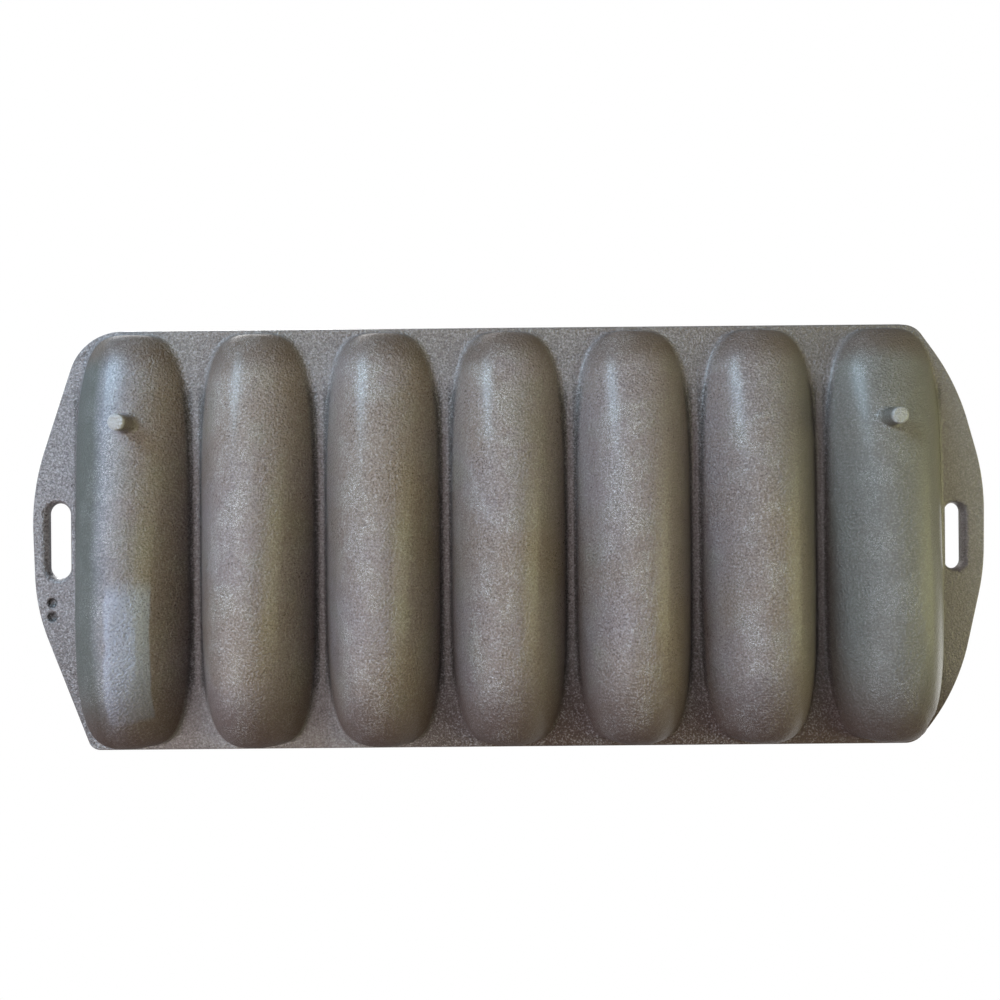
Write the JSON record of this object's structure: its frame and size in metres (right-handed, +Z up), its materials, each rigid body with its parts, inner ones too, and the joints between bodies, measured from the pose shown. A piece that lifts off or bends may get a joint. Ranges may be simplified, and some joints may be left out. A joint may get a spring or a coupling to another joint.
{
  "type": "corn stick pan",
  "caption": "Cast iron baking pan with a row of ear-shaped cavities in a flat rim, slotted end handles and two short feet under the tips.",
  "frame": {"origin": "on the table plane, under the middle of the pan's overall box", "axes": "+Z up, out of the cavities' mouths; +X along the row of cups, so cup_1 and handle_left are at -X; the ears' tips point to -Y and their butts to +Y"},
  "size_m": [0.3341, 0.148, 0.0272],
  "materials": {
    "seasoned_iron": "sand-cast grain under baked-on seasoning, satin"
  },
  "bodies": {
    "root": {"cup_1": "seasoned_iron", "cup_2": "seasoned_iron", "cup_3": "seasoned_iron", "cup_4": "seasoned_iron", "cup_5": "seasoned_iron", "cup_6": "seasoned_iron", "cup_7": "seasoned_iron", "rim_plate": "seasoned_iron", "handle_left": "seasoned_iron", "handle_right": "seasoned_iron", "foot_left": "seasoned_iron", "foot_right": "seasoned_iron"}
  },
  "joints": []
}
